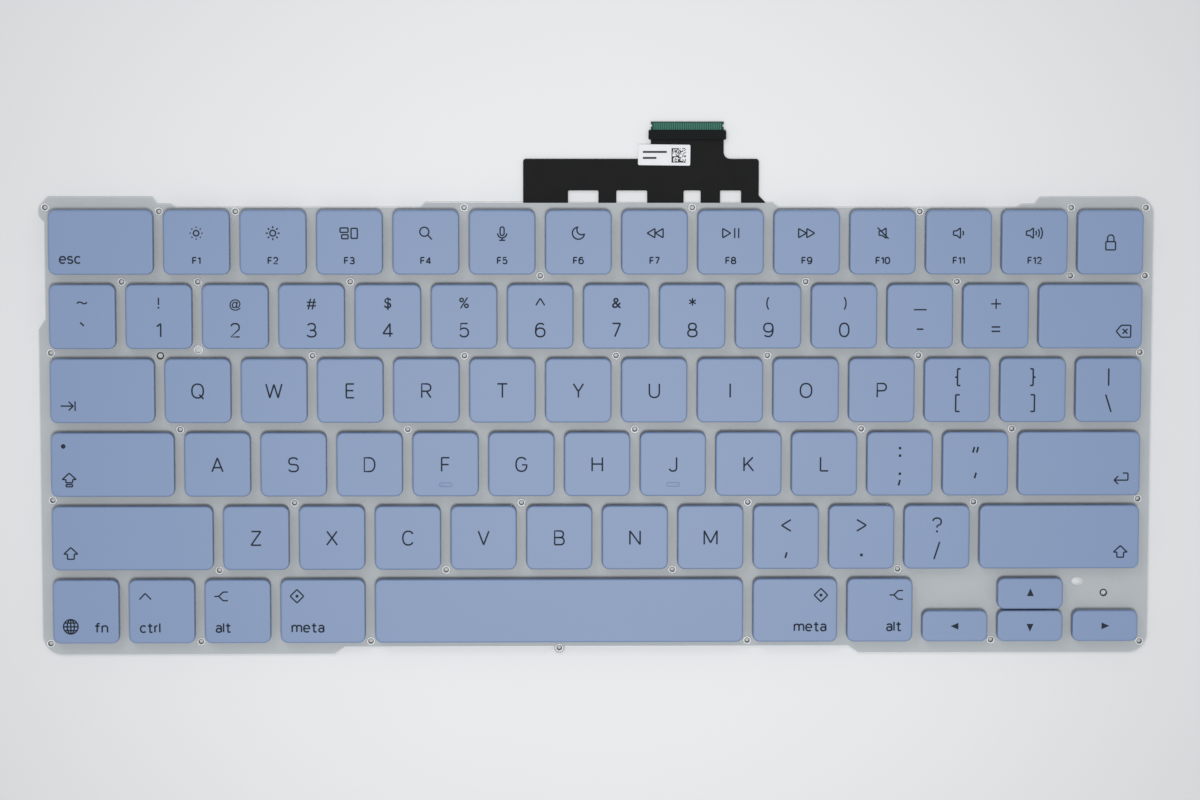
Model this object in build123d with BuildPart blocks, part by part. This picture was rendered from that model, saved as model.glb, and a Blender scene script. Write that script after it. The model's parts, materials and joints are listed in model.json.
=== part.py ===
from build123d import *
import os
from collections import namedtuple
from functools import lru_cache
from math import asin, cos, sin

os.makedirs("parts", exist_ok=True)

# Key layout, in millimetres, seen from above with the tail at the back
key_pitch = 19.05
row_pitch = 18.6
row_count = 6
plain_keys_in_row = 13
key_gap = 2.4
wide_cap = 26.2
command_cap = 21.4
half_key_gap = 0.3

# Keycap moulding
travel = 1.0
skirt_clearance = 0.55
cap_top_z = 4.0
cap_roof = 0.8
cap_wall = 0.8
cap_corner = 1.8
cap_draft = 2.0
homing_bar_length = 3.4
homing_bar_width = 1.1
homing_bar_height = 0.12
homing_bar_from_edge = 3.0

# Stamped plate and the printed film on it
plate_thickness = 0.5
film_thickness = 0.15
film_inset = 0.2
front_corner_radius = 5.0
back_corner_radius = 4.3
lobe_radius = 1.8

# How far the plate's edges stand out from the block of keys
side_margin = 3.0
side_margin_behind_step = 1.3
back_margin = 0.55
back_ledge_margin = 1.35
tail_strip_margin = 1.8
back_tab_margin = 3.1
front_margin = 1.6
front_strip_margin = 3.4

# How far the steps in those edges run
back_tab_width = 28.7
back_ledge_width = 4.6
back_slope = 1.4
front_strip_width = 73.6
front_slope = 2.6
tail_strip_left_reach = 24.5
tail_strip_right_reach = 3.6
lobe_width = 2.6
lobe_inset = 0.3
lobe_depth = 3.2
lobe_slope = 1.5
left_step_from_row = 3.5

# Screw holes with a raised collar, and two locating holes
screw_hole_radius = 0.7
collar_radius = 1.0
collar_height = 0.25
large_hole_radius = 0.85
locating_hole_radius = 0.75
film_hole_clearance = 0.05
film_hole_sides = 8
screw_off_gap_centre = 0.75
corner_screw_out = 0.98
corner_screw_back = 0.45
back_screw_inset = 1.0
front_screw_inset = 0.45
ear_overhang = 0.2
ear_wall = 0.6
emboss_radii = (1.6, 1.15)
emboss_behind_row = 6.9
locating_hole_behind_row = 3.9

# Scissor frames, with the half-height arrow keys' own narrow ones
frame_thickness = 0.6
frame_bar = 0.9
frame_reach = 4.9
outer_frame_half_width = 5.6
frame_side_gap = 0.2
frame_end_gap = 0.1
pin_radius = 0.15
pin_clearance = 0.03
pin_sides = 8
narrow_bar = 0.55
narrow_half_width = 3.0

# Hooks on the plate and clips in the caps that hold the frames
hook_thickness = 0.3
hook_wall = 0.5
hook_length = 3.0
narrow_hook_length = 1.8
clip_length = 1.4
clip_from_centre = 3.0
narrow_clip_length = 0.8
narrow_clip_from_centre = 1.8
window_clearance = 0.2

# Rubber domes
dome_base_radius = 2.7
dome_crown_radius = 1.3
dome_sides = 8
dome_play = 0.2
narrow_dome_scale = 0.55

# Wire stabilisers under the wide keys
wire_radius = 0.3
wire_sides = 8
wire_from_cap_end = 2.4
wire_foot_length = 2.0
wire_hook_length = 1.0
wire_back_y = 0.7
rib_thickness = 0.4

# Flexible tail, its stiffener and its contact tongue
tail_thickness = 0.16
tail_pocket_depth = 0.2
tail_pocket_play = 0.2
tail_left = -18.55
tail_width = 59.05
tail_reach = 10.8
tail_under_plate = 2.35
tail_corner = 0.7
tail_chamfer = 1.6
tail_front_web = 1.1
window_depth = 2.9
window_corner = 0.35
window_offsets = (11.25, 23.35, 40.2, 49.35)
window_widths = (7.6, 7.7, 4.25, 5.25)
neck_offset = 31.95
neck_width = 18.25
neck_reach = 6.0
neck_fillet = 1.7
stiffener_overhang = 0.6
stiffener_width = 2.4
stiffener_height = 0.75
stiffener_corner = 0.35
stiffener_chamfer = 0.15
tongue_reach = 3.3
tongue_thickness = 0.3
tongue_notch = 0.35
tongue_notch_reach = 2.3
groove_count = 36
groove_margin = 1.05
groove_width = 0.2
groove_end_margin = 0.2
groove_depth = 0.05
label_size = (13.05, 5.2)
label_offset = (3.35, 1.0)
label_turn = -0.6
label_thickness = 0.1

# Sizes that follow from those above
cap_width = key_pitch - key_gap
cap_depth = row_pitch - key_gap
half_cap_depth = (cap_depth - half_key_gap) / 2
keys_width = plain_keys_in_row * key_pitch + wide_cap
keys_depth = (row_count - 1) * row_pitch + cap_depth
home_end_cap = (keys_width - (plain_keys_in_row - 2) * key_pitch - key_gap) / 2
shift_cap = (keys_width - (plain_keys_in_row - 3) * key_pitch - key_gap) / 2
space_cap = keys_width - (plain_keys_in_row - 6) * key_pitch - 2 * (command_cap + key_gap)

film_top_z = plate_thickness + film_thickness
cap_skirt_z = film_top_z + travel + skirt_clearance
cap_height = cap_top_z - cap_skirt_z
cap_ceiling_z = cap_top_z - cap_roof
bar_half = frame_thickness / 2
low_axis_z = film_top_z + frame_end_gap + bar_half
high_axis_z = cap_ceiling_z - frame_end_gap - bar_half
axis_mid_z = (low_axis_z + high_axis_z) / 2
frame_tilt = asin((high_axis_z - low_axis_z) / 2 / frame_reach)
hook_inside = frame_reach + frame_bar / 2 + frame_end_gap
hook_top_z = low_axis_z + bar_half + frame_end_gap + hook_thickness
tail_bottom_z = plate_thickness - tail_pocket_depth
tail_top_z = tail_bottom_z + tail_thickness

Key = namedtuple("Key", "name x y width depth")


def row_y(row):
    """The middle of a row of keys, row 0 at the back."""
    return ((row_count - 1) / 2 - row) * row_pitch


def gap_y(row):
    """The middle of the gap in front of a row of keys."""
    return row_y(row) - row_pitch / 2


def key_row(row, names, widths):
    """Keys placed from left to right, a gap apart."""
    keys = []
    left = -keys_width / 2
    for name, width in zip(names.split(), widths):
        keys.append(Key(name, left + width / 2, row_y(row), width, cap_depth))
        left += width + key_gap
    return keys


function_keys = key_row(
    0,
    "esc f1 f2 f3 f4 f5 f6 f7 f8 f9 f10 f11 f12 lock",
    [wide_cap] + [cap_width] * 13,
)
number_keys = key_row(
    1,
    "grave 1 2 3 4 5 6 7 8 9 0 minus equals delete",
    [cap_width] * 13 + [wide_cap],
)
tab_keys = key_row(
    2,
    "tab q w e r t y u i o p left_bracket right_bracket backslash",
    [wide_cap] + [cap_width] * 13,
)
home_keys = key_row(
    3,
    "caps_lock a s d f g h j k l semicolon apostrophe return",
    [home_end_cap] + [cap_width] * 11 + [home_end_cap],
)
shift_keys = key_row(
    4,
    "shift_left z x c v b n m comma period slash shift_right",
    [shift_cap] + [cap_width] * 10 + [shift_cap],
)
bottom_row = key_row(
    5,
    "fn control alt_left meta_left space meta_right alt_right arrow_left arrow_down arrow_right",
    [cap_width] * 3 + [command_cap, space_cap, command_cap] + [cap_width] * 4,
)
bottom_keys = bottom_row[:7]
half_step = (cap_depth - half_cap_depth) / 2
arrow_keys = [
    Key(key.name, key.x, key.y - half_step, key.width, half_cap_depth)
    for key in bottom_row[7:]
]
arrow_keys.append(
    Key("arrow_up", bottom_row[8].x, row_y(5) + half_step, cap_width, half_cap_depth)
)

upper_keys = function_keys + number_keys
moving_keys = tab_keys + home_keys + shift_keys + bottom_keys + arrow_keys
full_keys = upper_keys + tab_keys + home_keys + shift_keys + bottom_keys
full_centres = [(key.x, key.y) for key in full_keys]
arrow_centres = [(key.x, key.y) for key in arrow_keys]
wide_keys = [key for key in full_keys if key.width > command_cap]

# Screw holes stand in the gaps, at whole quarters of the key pitch
screws_in_gaps = [
    (0, -screw_off_gap_centre, (-6.25, -5.25, -3.25, 2.75, 4.75)),
    (0, screw_off_gap_centre, (-0.75, 6.25)),
    (1, -screw_off_gap_centre, (-3.75, -1.75, 0.25, 2.25, 4.25)),
    (2, -screw_off_gap_centre, (-5.5, -2.5, 0.5, 3.5, 5.5)),
    (3, -screw_off_gap_centre, (-4, -1, 2, 5)),
    (4, screw_off_gap_centre, (-5, -2, 1, 4)),
]
corner_x = keys_width / 2 + corner_screw_out
corner_y = keys_depth / 2 + corner_screw_back
side_x = keys_width / 2
screw_centres = [
    (column * key_pitch, gap_y(row) + shift)
    for row, shift, columns in screws_in_gaps
    for column in columns
]
back_screw_y = corner_y - back_screw_inset
front_screw_y = front_screw_inset - corner_y
screw_centres += [(column * key_pitch, back_screw_y) for column in (-5.75, -4.75, 4.25)]
screw_centres += [(column * key_pitch, corner_y) for column in (-1.75, 1.25, 6.25)]
screw_centres += [(column * key_pitch, front_screw_y) for column in (-5.25, -3, 2, 5.25)]
screw_centres += [(x, y) for x in (-corner_x, corner_x) for y in (-corner_y, corner_y)]
screw_centres += [(x, y) for x in (-side_x, side_x) for y in (-row_pitch, row_pitch)]
screw_centres.append((corner_x, gap_y(0) + screw_off_gap_centre))
ear_centre = (-key_pitch / 2, -keys_depth / 2 - front_margin - ear_overhang)
screw_centres.append(ear_centre)
large_hole_centre = (-5.25 * key_pitch, gap_y(1) + screw_off_gap_centre)
locating_centres = [
    (-5.75 * key_pitch, gap_y(1) - screw_off_gap_centre),
    (6.75 * key_pitch, row_y(5) + locating_hole_behind_row),
]
emboss_centre = (6.4 * key_pitch, row_y(5) + emboss_behind_row)

# Edges of the plate, named by the side that they are on
right_edge = keys_width / 2 + side_margin
left_edge = -right_edge
left_edge_behind = -keys_width / 2 - side_margin_behind_step
back_edge = keys_depth / 2 + back_margin
back_ledge = keys_depth / 2 + back_ledge_margin
back_strip = keys_depth / 2 + tail_strip_margin
back_tab = keys_depth / 2 + back_tab_margin
front_edge = -keys_depth / 2 - front_margin
front_strip = -keys_depth / 2 - front_strip_margin
tail_right = tail_left + tail_width
strip_left = tail_left - tail_strip_left_reach
strip_right = tail_right + tail_strip_right_reach
tab_end = right_edge - back_tab_width
ledge_end = tab_end - back_ledge_width
front_strip_end = right_edge - front_strip_width
lobe_left = left_edge + lobe_inset
lobe_front = keys_depth / 2 - lobe_depth
left_step_y = row_y(1) - left_step_from_row

with BuildSketch() as plate_outline:
    with BuildLine():
        Polyline(
            (left_edge, front_strip),
            (-front_strip_end, front_strip),
            (front_slope - front_strip_end, front_edge),
            (front_strip_end - front_slope, front_edge),
            (front_strip_end, front_strip),
            (right_edge, front_strip),
            (right_edge, back_tab),
            (tab_end, back_tab),
            (tab_end - back_slope, back_ledge),
            (ledge_end, back_ledge),
            (ledge_end - back_slope, back_edge),
            (strip_right + back_slope, back_edge),
            (strip_right, back_strip),
            (strip_left, back_strip),
            (strip_left - back_slope, back_edge),
            (back_slope - ledge_end, back_edge),
            (-ledge_end, back_ledge),
            (back_slope - tab_end, back_ledge),
            (-tab_end, back_tab),
            (left_edge + lobe_width, back_tab),
            (lobe_left, corner_y),
            (lobe_left, lobe_front + lobe_slope),
            (left_edge_behind, lobe_front),
            (left_edge_behind, left_step_y + front_slope),
            (left_edge, left_step_y),
            close=True,
        )
    make_face()
    front_corners = plate_outline.vertices().group_by(Axis.Y)[0].sort_by(Axis.X)
    fillet([front_corners[0], front_corners[-1]], front_corner_radius)
    back_right_corner = plate_outline.vertices().group_by(Axis.Y)[-1].sort_by(Axis.X)[-1]
    fillet(back_right_corner, back_corner_radius)
    lobe_corners = plate_outline.vertices().filter_by_position(
        Axis.X, lobe_left - lobe_inset / 2, lobe_left + lobe_inset / 2
    )
    fillet(lobe_corners, lobe_radius)
    with Locations(ear_centre):
        Circle(collar_radius + ear_wall)

# Frame hooks: one at each end of every pair, turned a quarter on the arrow keys
hook_mid = hook_inside + hook_wall / 2
hook_reach = hook_wall + frame_bar / 2 + frame_end_gap
hook_over_mid = hook_inside + hook_wall - hook_reach / 2
wire_front_y = -(cap_depth / 2 - cap_wall - wire_radius - frame_end_gap)
wire_hooks = [
    (key.x + side * (key.width / 2 - wire_from_cap_end - wire_foot_length / 2), key.y)
    for key in wide_keys
    for side in (-1, 1)
]
wire_hook_y = -wire_back_y + wire_radius + frame_end_gap + hook_wall / 2


def both_ends(centres, distance, along_y=True):
    """Two points for each centre, the distance away on either side."""
    if along_y:
        return [(x, y + side * distance) for x, y in centres for side in (-1, 1)]
    return [(x + side * distance, y) for x, y in centres for side in (-1, 1)]


def shifted(centres, dx, dy):
    return [(x + dx, y + dy) for x, y in centres]


# Hooks on the plate for the frames' ends and the wires' feet
with BuildPart() as hooks:
    with BuildSketch(Plane.XY.offset(plate_thickness)):
        with Locations(*both_ends(full_centres, hook_mid)):
            Rectangle(hook_length, hook_wall)
        with Locations(*both_ends(arrow_centres, hook_mid, along_y=False)):
            Rectangle(hook_wall, narrow_hook_length)
        with Locations(*shifted(wire_hooks, 0, wire_hook_y)):
            Rectangle(wire_hook_length, hook_wall)
    extrude(amount=hook_top_z - plate_thickness)
    with BuildSketch(Plane.XY.offset(hook_top_z)):
        with Locations(*both_ends(full_centres, hook_over_mid)):
            Rectangle(hook_length, hook_reach)
        with Locations(*both_ends(arrow_centres, hook_over_mid, along_y=False)):
            Rectangle(hook_reach, narrow_hook_length)
        with Locations(*shifted(wire_hooks, 0, wire_hook_y - wire_radius)):
            Rectangle(wire_hook_length, hook_wall + 2 * wire_radius)
    extrude(amount=-hook_thickness)

# Base plate: a stamped sheet with collars, hooks, a pocket for the tail and an embossed boss
tail_front = back_edge - tail_under_plate
with BuildPart() as base_plate:
    with BuildSketch():
        add(plate_outline.sketch)
        with Locations(*screw_centres):
            Circle(screw_hole_radius, mode=Mode.SUBTRACT)
        with Locations(large_hole_centre):
            Circle(large_hole_radius, mode=Mode.SUBTRACT)
        with Locations(*locating_centres):
            Circle(locating_hole_radius, mode=Mode.SUBTRACT)
    extrude(amount=plate_thickness)
    with BuildSketch(Plane.XY.offset(plate_thickness)):
        with Locations((tail_left - tail_pocket_play, tail_front - tail_pocket_play)):
            Rectangle(
                tail_width + tail_chamfer + 2 * tail_pocket_play,
                back_strip - tail_front + tail_pocket_play,
                align=(Align.MIN, Align.MIN),
            )
    extrude(amount=-tail_pocket_depth, mode=Mode.SUBTRACT, clean=False)
    with BuildSketch(Plane.XY.offset(tail_bottom_z)):
        with Locations(*screw_centres, large_hole_centre):
            Circle(collar_radius)
        with Locations(*screw_centres):
            Circle(screw_hole_radius, mode=Mode.SUBTRACT)
        with Locations(large_hole_centre):
            Circle(large_hole_radius, mode=Mode.SUBTRACT)
        with Locations(emboss_centre):
            Ellipse(*emboss_radii)
    extrude(amount=tail_pocket_depth + collar_height, clean=False)
    add(hooks.part)

# Membrane circuit: the film over the plate, open round each collar and hook
window_wall = hook_wall + 2 * window_clearance
film_hole_radius = collar_radius + film_hole_clearance
with BuildPart() as membrane_circuit:
    with BuildSketch(Plane.XY.offset(plate_thickness)):
        offset(plate_outline.sketch, amount=-film_inset)
        with Locations(*screw_centres, large_hole_centre, *locating_centres):
            RegularPolygon(
                film_hole_radius,
                film_hole_sides,
                major_radius=False,
                rotation=180 / film_hole_sides,
                mode=Mode.SUBTRACT,
            )
        with Locations(*both_ends(full_centres, hook_mid)):
            Rectangle(hook_length + 2 * window_clearance, window_wall, mode=Mode.SUBTRACT)
        with Locations(*both_ends(arrow_centres, hook_mid, along_y=False)):
            Rectangle(window_wall, narrow_hook_length + 2 * window_clearance, mode=Mode.SUBTRACT)
        with Locations(*shifted(wire_hooks, 0, wire_hook_y)):
            Rectangle(wire_hook_length + 2 * window_clearance, window_wall, mode=Mode.SUBTRACT)
        with Locations(emboss_centre):
            Ellipse(*[r + film_hole_clearance for r in emboss_radii], mode=Mode.SUBTRACT)
    extrude(amount=film_thickness)

# Rubber domes, smaller under the arrow keys
dome_height = cap_ceiling_z - dome_play - film_top_z


def dome(scale):
    """One dome standing on the film at the origin, in few flat sides."""
    with BuildPart() as one_dome:
        with BuildSketch(Plane.XY.offset(film_top_z)):
            RegularPolygon(dome_base_radius * scale, dome_sides)
        with BuildSketch(Plane.XY.offset(film_top_z + dome_height)):
            RegularPolygon(dome_crown_radius * scale, dome_sides)
        loft(ruled=True)
    return one_dome.part


with BuildPart() as rubber_domes:
    with Locations(*full_centres):
        add(dome(1))
    with Locations(*arrow_centres):
        add(dome(narrow_dome_scale))


def scissor_pair(half_width, bar, along_y=True):
    """The crossed outer and inner frames of one key, at the origin."""
    inner_half_width = half_width - bar - frame_side_gap
    length = 2 * frame_reach + frame_bar
    across = Vector(1, 0, 0) if along_y else Vector(0, 1, 0)
    along = Vector(0, 1, 0) if along_y else Vector(1, 0, 0)
    lean = along * sin(frame_tilt)
    upright = Vector(0, 0, cos(frame_tilt))
    middle = (0, 0, axis_mid_z)
    rising_back = Plane(origin=middle, x_dir=across, z_dir=upright - lean)
    falling_back = Plane(origin=middle, x_dir=across, z_dir=upright + lean)
    pin_plane = Plane(origin=middle, x_dir=(0, 0, 1), z_dir=across)
    with BuildPart() as outer:
        with BuildSketch(falling_back):
            Rectangle(2 * half_width, length)
            Rectangle(2 * (half_width - bar), length - 2 * frame_bar, mode=Mode.SUBTRACT)
        extrude(amount=bar_half, both=True)
        with BuildSketch(pin_plane):
            RegularPolygon(pin_radius + pin_clearance, pin_sides)
        extrude(amount=half_width, both=True, mode=Mode.SUBTRACT)
    with BuildPart() as inner:
        with BuildSketch(rising_back):
            Rectangle(2 * inner_half_width, length)
            Rectangle(2 * (inner_half_width - bar), length - 2 * frame_bar, mode=Mode.SUBTRACT)
        extrude(amount=bar_half, both=True)
        for side in (-1, 1):
            with BuildSketch(pin_plane.offset(side * (inner_half_width - bar / 2))):
                RegularPolygon(pin_radius, pin_sides)
            extrude(amount=side * (bar + frame_side_gap))
    return outer.part, inner.part


full_pair = scissor_pair(outer_frame_half_width, frame_bar)
narrow_pair = scissor_pair(narrow_half_width, narrow_bar, along_y=False)
moving_full_centres = [(key.x, key.y) for key in moving_keys if key.depth == cap_depth]

# Scissor frames of the keys in the four front rows
with BuildPart() as scissor_frames:
    for frame in full_pair:
        with Locations(*moving_full_centres):
            add(frame)
    for frame in narrow_pair:
        with Locations(*arrow_centres):
            add(frame)


@lru_cache(maxsize=None)
def keycap(width, depth, held_frames=False):
    """One hollow cap with its clips, at the origin. Held frames are fused into the clips."""
    half_height = depth == half_cap_depth
    clip_span = narrow_clip_length if half_height else clip_length
    clip_at = narrow_clip_from_centre if half_height else clip_from_centre
    grip = -frame_end_gap / 2 if held_frames else frame_end_gap
    clip_foot_z = high_axis_z - bar_half - grip
    clip_inside = frame_reach + frame_bar / 2 + grip
    clip_reach = hook_wall + frame_bar / 2 + frame_end_gap
    leg_mid = clip_inside + hook_wall / 2
    foot_mid = clip_inside + hook_wall - clip_reach / 2
    with BuildPart() as cap:
        with BuildSketch(Plane.XY.offset(cap_skirt_z)):
            RectangleRounded(width, depth, cap_corner)
        extrude(amount=cap_height, taper=cap_draft)
        with BuildSketch(Plane.XY.offset(cap_skirt_z)):
            Rectangle(width - 2 * cap_wall, depth - 2 * cap_wall)
        extrude(amount=cap_ceiling_z - cap_skirt_z, mode=Mode.SUBTRACT)
        for middle, run, bottom, top in (
            (leg_mid, hook_wall, clip_foot_z - hook_thickness, cap_ceiling_z),
            (foot_mid, clip_reach, clip_foot_z - hook_thickness, clip_foot_z),
        ):
            spacing = (2 * middle, 2 * clip_at) if half_height else (2 * clip_at, 2 * middle)
            size = (run, clip_span) if half_height else (clip_span, run)
            with BuildSketch(Plane.XY.offset(bottom)):
                with GridLocations(*spacing, 2, 2):
                    Rectangle(*size)
            extrude(amount=top - bottom)
        if depth == cap_depth and width > command_cap:
            rib_y = wire_front_y + wire_radius + frame_end_gap + rib_thickness / 2
            rib_spacing = width - 4 * wire_from_cap_end
            with BuildSketch(Plane.XY.offset(high_axis_z - wire_radius)):
                with Locations((0, rib_y)):
                    with GridLocations(rib_spacing, 0, 2, 1):
                        Rectangle(clip_length, rib_thickness)
            extrude(amount=cap_ceiling_z - high_axis_z + wire_radius)
        if held_frames:
            for frame in full_pair:
                add(frame)
    return cap.part


# Caps of the two back rows, each in one piece with its frames
with BuildPart() as upper_row_keys:
    for width in (cap_width, wide_cap):
        with Locations(*[(key.x, key.y) for key in upper_keys if key.width == width]):
            add(keycap(width, cap_depth, held_frames=True))

# Wire stabilisers: a long leg held in the cap, and two arms hooked on the plate
with BuildPart() as stabiliser_bars:
    for key in wide_keys:
        arm_x = key.width / 2 - wire_from_cap_end
        foot_x = arm_x - wire_foot_length
        front = (wire_front_y, high_axis_z)
        back = (-wire_back_y, low_axis_z)
        route = [
            (-foot_x, *back),
            (-arm_x, *back),
            (-arm_x, *front),
            (arm_x, *front),
            (arm_x, *back),
            (foot_x, *back),
        ]
        points = [Vector(key.x + x, key.y + y, z) for x, y, z in route]
        with BuildLine() as wire:
            Polyline(*points)
        with BuildSketch(Plane(origin=points[0], z_dir=(-1, 0, 0))):
            RegularPolygon(wire_radius, wire_sides)
        sweep(path=wire.line, transition=Transition.RIGHT)

# Flexible tail: it leaves from under the film through a pocket in the plate
tail_back = back_strip + tail_reach
window_back = back_strip + window_depth
window_front = tail_front + tail_front_web
neck_left = tail_left + neck_offset
neck_back = tail_back + neck_reach


def shoulder_corners(outline):
    """The corners on the tail's back edge, from left to right."""
    tolerance = tail_corner / 10
    at_back = outline.vertices().filter_by_position(
        Axis.Y, tail_back - tolerance, tail_back + tolerance
    )
    return at_back.sort_by(Axis.X)


with BuildPart() as flex_tail:
    with BuildSketch(Plane.XY.offset(tail_bottom_z)) as tail_outline:
        with BuildLine():
            Polyline(
                (tail_left, tail_front),
                (tail_right + tail_chamfer, tail_front),
                (tail_right + tail_chamfer, back_strip),
                (tail_right, back_strip + tail_chamfer),
                (tail_right, tail_back),
                (neck_left + neck_width, tail_back),
                (neck_left + neck_width, neck_back),
                (neck_left, neck_back),
                (neck_left, tail_back),
                (tail_left, tail_back),
                close=True,
            )
        make_face()
        fillet(shoulder_corners(tail_outline)[1:3], neck_fillet)
        outer_corners = shoulder_corners(tail_outline)
        fillet([outer_corners[0], outer_corners[-1]], tail_corner)
        for start, width in zip(window_offsets, window_widths):
            middle = tail_left + start + width / 2
            with Locations((middle, (window_front + window_back) / 2)):
                RectangleRounded(
                    width, window_back - window_front, window_corner, mode=Mode.SUBTRACT
                )
    extrude(amount=tail_thickness)

# Contact tongue: a stiff board at the end of the neck, with grooves between its contacts
neck_mid = neck_left + neck_width / 2
groove_pitch = (neck_width - 2 * groove_margin) / (groove_count - 1)
groove_front = neck_back + stiffener_width / 2 + groove_end_margin
groove_length = neck_back + tongue_reach - groove_end_margin - groove_front
with BuildPart() as contact_tongue:
    with BuildSketch(Plane.XY.offset(tail_top_z - tongue_thickness)):
        with Locations((neck_mid, neck_back)):
            Rectangle(neck_width, tongue_reach, align=(Align.CENTER, Align.MIN))
        with Locations((neck_mid, neck_back + tongue_notch_reach)):
            with GridLocations(neck_width, 0, 2, 1):
                Circle(tongue_notch, mode=Mode.SUBTRACT)
    extrude(amount=tongue_thickness)
    with BuildSketch(Plane.XY.offset(tail_top_z)):
        with Locations((neck_mid, groove_front + groove_length / 2)):
            with GridLocations(groove_pitch, 0, groove_count, 1):
                Rectangle(groove_width, groove_length)
    extrude(amount=-groove_depth, mode=Mode.SUBTRACT)

# Stiffener bar across the joint of neck and tongue
with BuildPart() as tail_stiffener:
    with BuildSketch(Plane.XY.offset(tail_top_z)):
        with Locations((neck_mid, neck_back)):
            RectangleRounded(
                neck_width + 2 * stiffener_overhang, stiffener_width, stiffener_corner
            )
    extrude(amount=stiffener_height)
    chamfer(tail_stiffener.faces().sort_by(Axis.Z)[-1].edges(), stiffener_chamfer)

# Blank label stuck across the neck
label_centre = (neck_left + label_offset[0], tail_back + label_offset[1])
with BuildPart() as tail_label:
    with BuildSketch(Plane.XY.offset(tail_top_z)):
        with Locations(Location((*label_centre, 0), (0, 0, label_turn))):
            RectangleRounded(*label_size, stiffener_corner)
    extrude(amount=label_thickness)

base_plate.part.label = "base_plate"
membrane_circuit.part.label = "membrane_circuit"
rubber_domes.part.label = "rubber_domes"
scissor_frames.part.label = "scissor_frames"
stabiliser_bars.part.label = "stabiliser_bars"
flex_tail.part.label = "flex_tail"
contact_tongue.part.label = "contact_tongue"
tail_stiffener.part.label = "tail_stiffener"
tail_label.part.label = "tail_label"
upper_row_keys.part.label = "upper_row_keys"
pieces = [
    base_plate,
    membrane_circuit,
    rubber_domes,
    scissor_frames,
    stabiliser_bars,
    flex_tail,
    contact_tongue,
    tail_stiffener,
    tail_label,
    upper_row_keys,
]
for piece in pieces:
    export_step(piece.part, f"parts/{piece.part.label}.step")

# One cap for each key that moves, with homing bars on F and J
for key in moving_keys:
    with BuildPart() as cap:
        with Locations((key.x, key.y, 0)):
            add(keycap(key.width, key.depth))
        if key.name in ("f", "j"):
            bar_y = key.y - key.depth / 2 + homing_bar_from_edge
            with BuildSketch(Plane.XY.offset(cap_top_z)):
                with Locations((key.x, bar_y)):
                    SlotOverall(homing_bar_length, homing_bar_width)
            extrude(amount=homing_bar_height)
    cap.part.label = f"key_{key.name}"
    export_step(cap.part, f"parts/{cap.part.label}.step")
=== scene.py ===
import json
import random
from math import asin, cos, hypot, pi, radians, sin

import bmesh
import bpy
from mathutils import Euler, Matrix, Vector


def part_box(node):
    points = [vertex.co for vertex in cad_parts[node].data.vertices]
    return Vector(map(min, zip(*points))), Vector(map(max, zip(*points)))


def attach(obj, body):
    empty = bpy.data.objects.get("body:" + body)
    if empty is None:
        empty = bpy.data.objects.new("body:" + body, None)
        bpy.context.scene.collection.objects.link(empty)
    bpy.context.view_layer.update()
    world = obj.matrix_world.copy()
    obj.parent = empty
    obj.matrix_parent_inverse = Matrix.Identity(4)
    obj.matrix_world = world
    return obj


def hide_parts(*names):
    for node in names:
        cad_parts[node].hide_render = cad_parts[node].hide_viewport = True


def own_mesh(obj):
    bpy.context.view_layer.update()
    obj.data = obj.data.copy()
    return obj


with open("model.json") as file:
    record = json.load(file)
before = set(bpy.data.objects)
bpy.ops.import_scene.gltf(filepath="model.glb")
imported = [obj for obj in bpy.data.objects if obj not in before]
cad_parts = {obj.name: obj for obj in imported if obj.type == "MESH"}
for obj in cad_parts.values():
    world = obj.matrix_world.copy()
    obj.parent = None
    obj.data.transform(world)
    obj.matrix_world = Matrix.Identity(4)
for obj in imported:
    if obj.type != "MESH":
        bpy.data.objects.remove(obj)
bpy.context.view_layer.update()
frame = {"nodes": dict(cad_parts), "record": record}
nodes = frame["nodes"]
mm = 0.001

# Heights and wall sizes of the keys, as in the source of the part
film_z = 0.65 * mm
skirt_z = 2.2 * mm
ceiling_z = 3.2 * mm
cap_wall = 0.8 * mm
cap_corner = 1.8 * mm
cap_lean = 0.06 * mm
cap_edge = 0.3 * mm
skirt_edge = 0.1 * mm
least_corner = 0.3 * mm
homing_bar = (3.4 * mm, 1.1 * mm, 0.12 * mm)
homing_bar_sunk = 0.02 * mm
homing_bar_from_edge = 3.0 * mm

# Colours as linear light
cap_blue = (0.178, 0.26, 0.443)
ink_slate = (0.016, 0.025, 0.042)
plate_grey = (0.42, 0.445, 0.47)
film_grey = (0.4, 0.424, 0.442)
collar_silver = (0.76, 0.77, 0.78)
emboss_silver = (0.60, 0.61, 0.62)
thread_grey = (0.17, 0.175, 0.17)
natural_white = (0.72, 0.73, 0.74)
silicone_grey = (0.62, 0.65, 0.67)
wire_grey = (0.55, 0.55, 0.56)
tail_black = (0.009, 0.009, 0.0095)
stiffener_black = (0.004, 0.006, 0.006)
board_green = (0.005, 0.05, 0.035)
contact_green = (0.05, 0.235, 0.165)
label_white = (0.86, 0.87, 0.89)
hole_black = (0.012, 0.012, 0.014)
floor_white = (0.87, 0.875, 0.88)


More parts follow.
